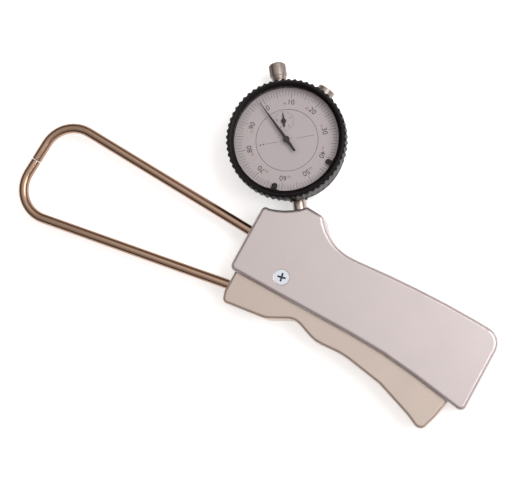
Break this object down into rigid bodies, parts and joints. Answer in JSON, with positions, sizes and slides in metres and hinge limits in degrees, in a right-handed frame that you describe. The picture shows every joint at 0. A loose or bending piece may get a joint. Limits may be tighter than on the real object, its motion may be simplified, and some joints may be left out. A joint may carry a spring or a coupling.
{
  "type": "skinfold caliper",
  "caption": "Skinfold caliper: bent jaw rods on a hollow handle and squeeze lever, with a dial indicator that reads the jaw opening.",
  "frame": {"origin": "on the lever's pivot axis, in the plane of the handle's back face", "axes": "+X along the fixed rod towards the rear of the handle, +Y towards the dial, +Z out of the dial's face"},
  "size_m": [0.2489, 0.1316, 0.026],
  "materials": {
    "housing": "satin die casting",
    "fixed_jaw_rod": "polished plating",
    "fixed_rod_screw": "black oxide",
    "pivot_barrel": "turned",
    "pivot_screw": "bright plated",
    "stem_screw": "black oxide",
    "return_spring": "spring wire",
    "lever": "satin die casting",
    "moving_jaw_rod": "polished plating",
    "moving_rod_screw": "black oxide",
    "pivot_bush": "turned bronze",
    "anvil": "ground and lapped",
    "indicator_case": "satin black",
    "case_back": "satin black",
    "case_back_screws": "turned",
    "indicator_stem": "ground",
    "upper_bush": "ground",
    "spindle_cap": "satin plating, knurled",
    "spindle": "ground",
    "contact_point": "hardened",
    "guide_pin": "ground",
    "spindle_spring": "spring wire",
    "spring_anchor": "turned",
    "middle_plate": "brushed",
    "plate_screws": "turned",
    "rear_bridge": "brushed",
    "bridge_posts": "turned",
    "rack_pinion": "cut and polished",
    "first_wheel": "cut",
    "centre_pinion": "cut and polished",
    "second_wheel": "cut",
    "hairspring": "blued",
    "dial_plate": "satin silver",
    "scale_ring": "satin silver",
    "main_hand": "matt black",
    "counter_hand": "matt black",
    "bezel": "satin black",
    "bezel_snap_ring": "spring wire",
    "crystal": "clear",
    "limit_marker_right": "satin black",
    "limit_marker_left": "satin black",
    "bezel_lock_shoe": "pressed",
    "bezel_lock_screw": "satin plating"
  },
  "bodies": {
    "handle": {"housing": "housing", "fixed_jaw_rod": "fixed_jaw_rod", "fixed_rod_screw": "fixed_rod_screw", "pivot_barrel": "pivot_barrel", "pivot_screw": "pivot_screw", "stem_screw": "stem_screw", "return_spring": "return_spring", "indicator_case": "indicator_case", "case_back": "case_back", "case_back_screws": "case_back_screws", "indicator_stem": "indicator_stem", "upper_bush": "upper_bush", "spindle_cap": "spindle_cap", "middle_plate": "middle_plate", "plate_screws": "plate_screws", "rear_bridge": "rear_bridge", "bridge_posts": "bridge_posts", "spring_anchor": "spring_anchor", "spindle_spring": "spindle_spring", "hairspring": "hairspring", "dial_plate": "dial_plate", "bezel_snap_ring": "bezel_snap_ring", "bezel_lock_shoe": "bezel_lock_shoe"},
    "lever": {"lever": "lever", "moving_jaw_rod": "moving_jaw_rod", "moving_rod_screw": "moving_rod_screw", "pivot_bush": "pivot_bush", "anvil": "anvil"},
    "spindle": {"spindle": "spindle", "contact_point": "contact_point", "guide_pin": "guide_pin"},
    "rack_arbor": {"rack_pinion": "rack_pinion", "first_wheel": "first_wheel"},
    "centre_arbor": {"centre_pinion": "centre_pinion", "main_hand": "main_hand"},
    "second_arbor": {"second_wheel": "second_wheel", "counter_hand": "counter_hand"},
    "bezel": {"bezel": "bezel", "crystal": "crystal", "scale_ring": "scale_ring"},
    "limit_right": {"limit_marker_right": "limit_marker_right"},
    "limit_left": {"limit_marker_left": "limit_marker_left"},
    "lock_screw": {"bezel_lock_screw": "bezel_lock_screw"}
  },
  "joints": [
    {"name": "lever_pivot", "type": "hinge", "parent": "handle", "child": "lever", "pos_m": [0, 0, 0.0105], "axis": [0, 0, 1], "range_deg": [0, 12], "stiffness_Nm_per_rad": 0.69, "springref_deg": -23.26, "deforming": ["return_spring"]},
    {"name": "spindle_slide", "type": "slide", "parent": "handle", "child": "spindle", "axis": [-0.6561, 0.7547, 0], "range_m": [0, 0.00296], "deforming": ["spindle_spring"]},
    {"name": "rack_pinion_spin", "type": "hinge", "parent": "handle", "child": "rack_arbor", "pos_m": [-0.0297, 0.04912, 0.0146], "axis": [0, 0, 1], "range_deg": [0, 108]},
    {"name": "main_hand_spin", "type": "hinge", "parent": "handle", "child": "centre_arbor", "pos_m": [-0.03316, 0.05796, 0.0146], "axis": [0, 0, 1], "range_deg": [-1067, 0]},
    {"name": "counter_hand_spin", "type": "hinge", "parent": "handle", "child": "second_arbor", "pos_m": [-0.03939, 0.06513, 0.0146], "axis": [0, 0, 1], "range_deg": [0, 108], "deforming": ["hairspring"]},
    {"name": "bezel_turn", "type": "hinge", "parent": "handle", "child": "bezel", "pos_m": [-0.03316, 0.05796, 0.02], "axis": [0, 0, 1], "continuous": true},
    {"name": "limit_right_slide", "type": "hinge", "parent": "bezel", "child": "limit_right", "pos_m": [-0.03316, 0.05796, 0.021], "axis": [0, 0, 1], "range_deg": [-28, 130]},
    {"name": "limit_left_slide", "type": "hinge", "parent": "bezel", "child": "limit_left", "pos_m": [-0.03316, 0.05796, 0.021], "axis": [0, 0, 1], "range_deg": [-120, 28]},
    {"name": "bezel_lock_turn", "type": "hinge", "parent": "handle", "child": "lock_screw", "pos_m": [-0.03194, 0.08493, 0.0105], "axis": [0.0454, 0.999, 0], "range_deg": [0, 180]}
  ],
  "couplings": [
    {"joint": "spindle_slide", "follows": "lever_pivot", "m_per_rad": 0.014083},
    {"joint": "rack_pinion_spin", "follows": "lever_pivot", "ratio": 8.8491},
    {"joint": "main_hand_spin", "follows": "lever_pivot", "ratio": -88.491},
    {"joint": "counter_hand_spin", "follows": "lever_pivot", "ratio": 8.8491}
  ]
}
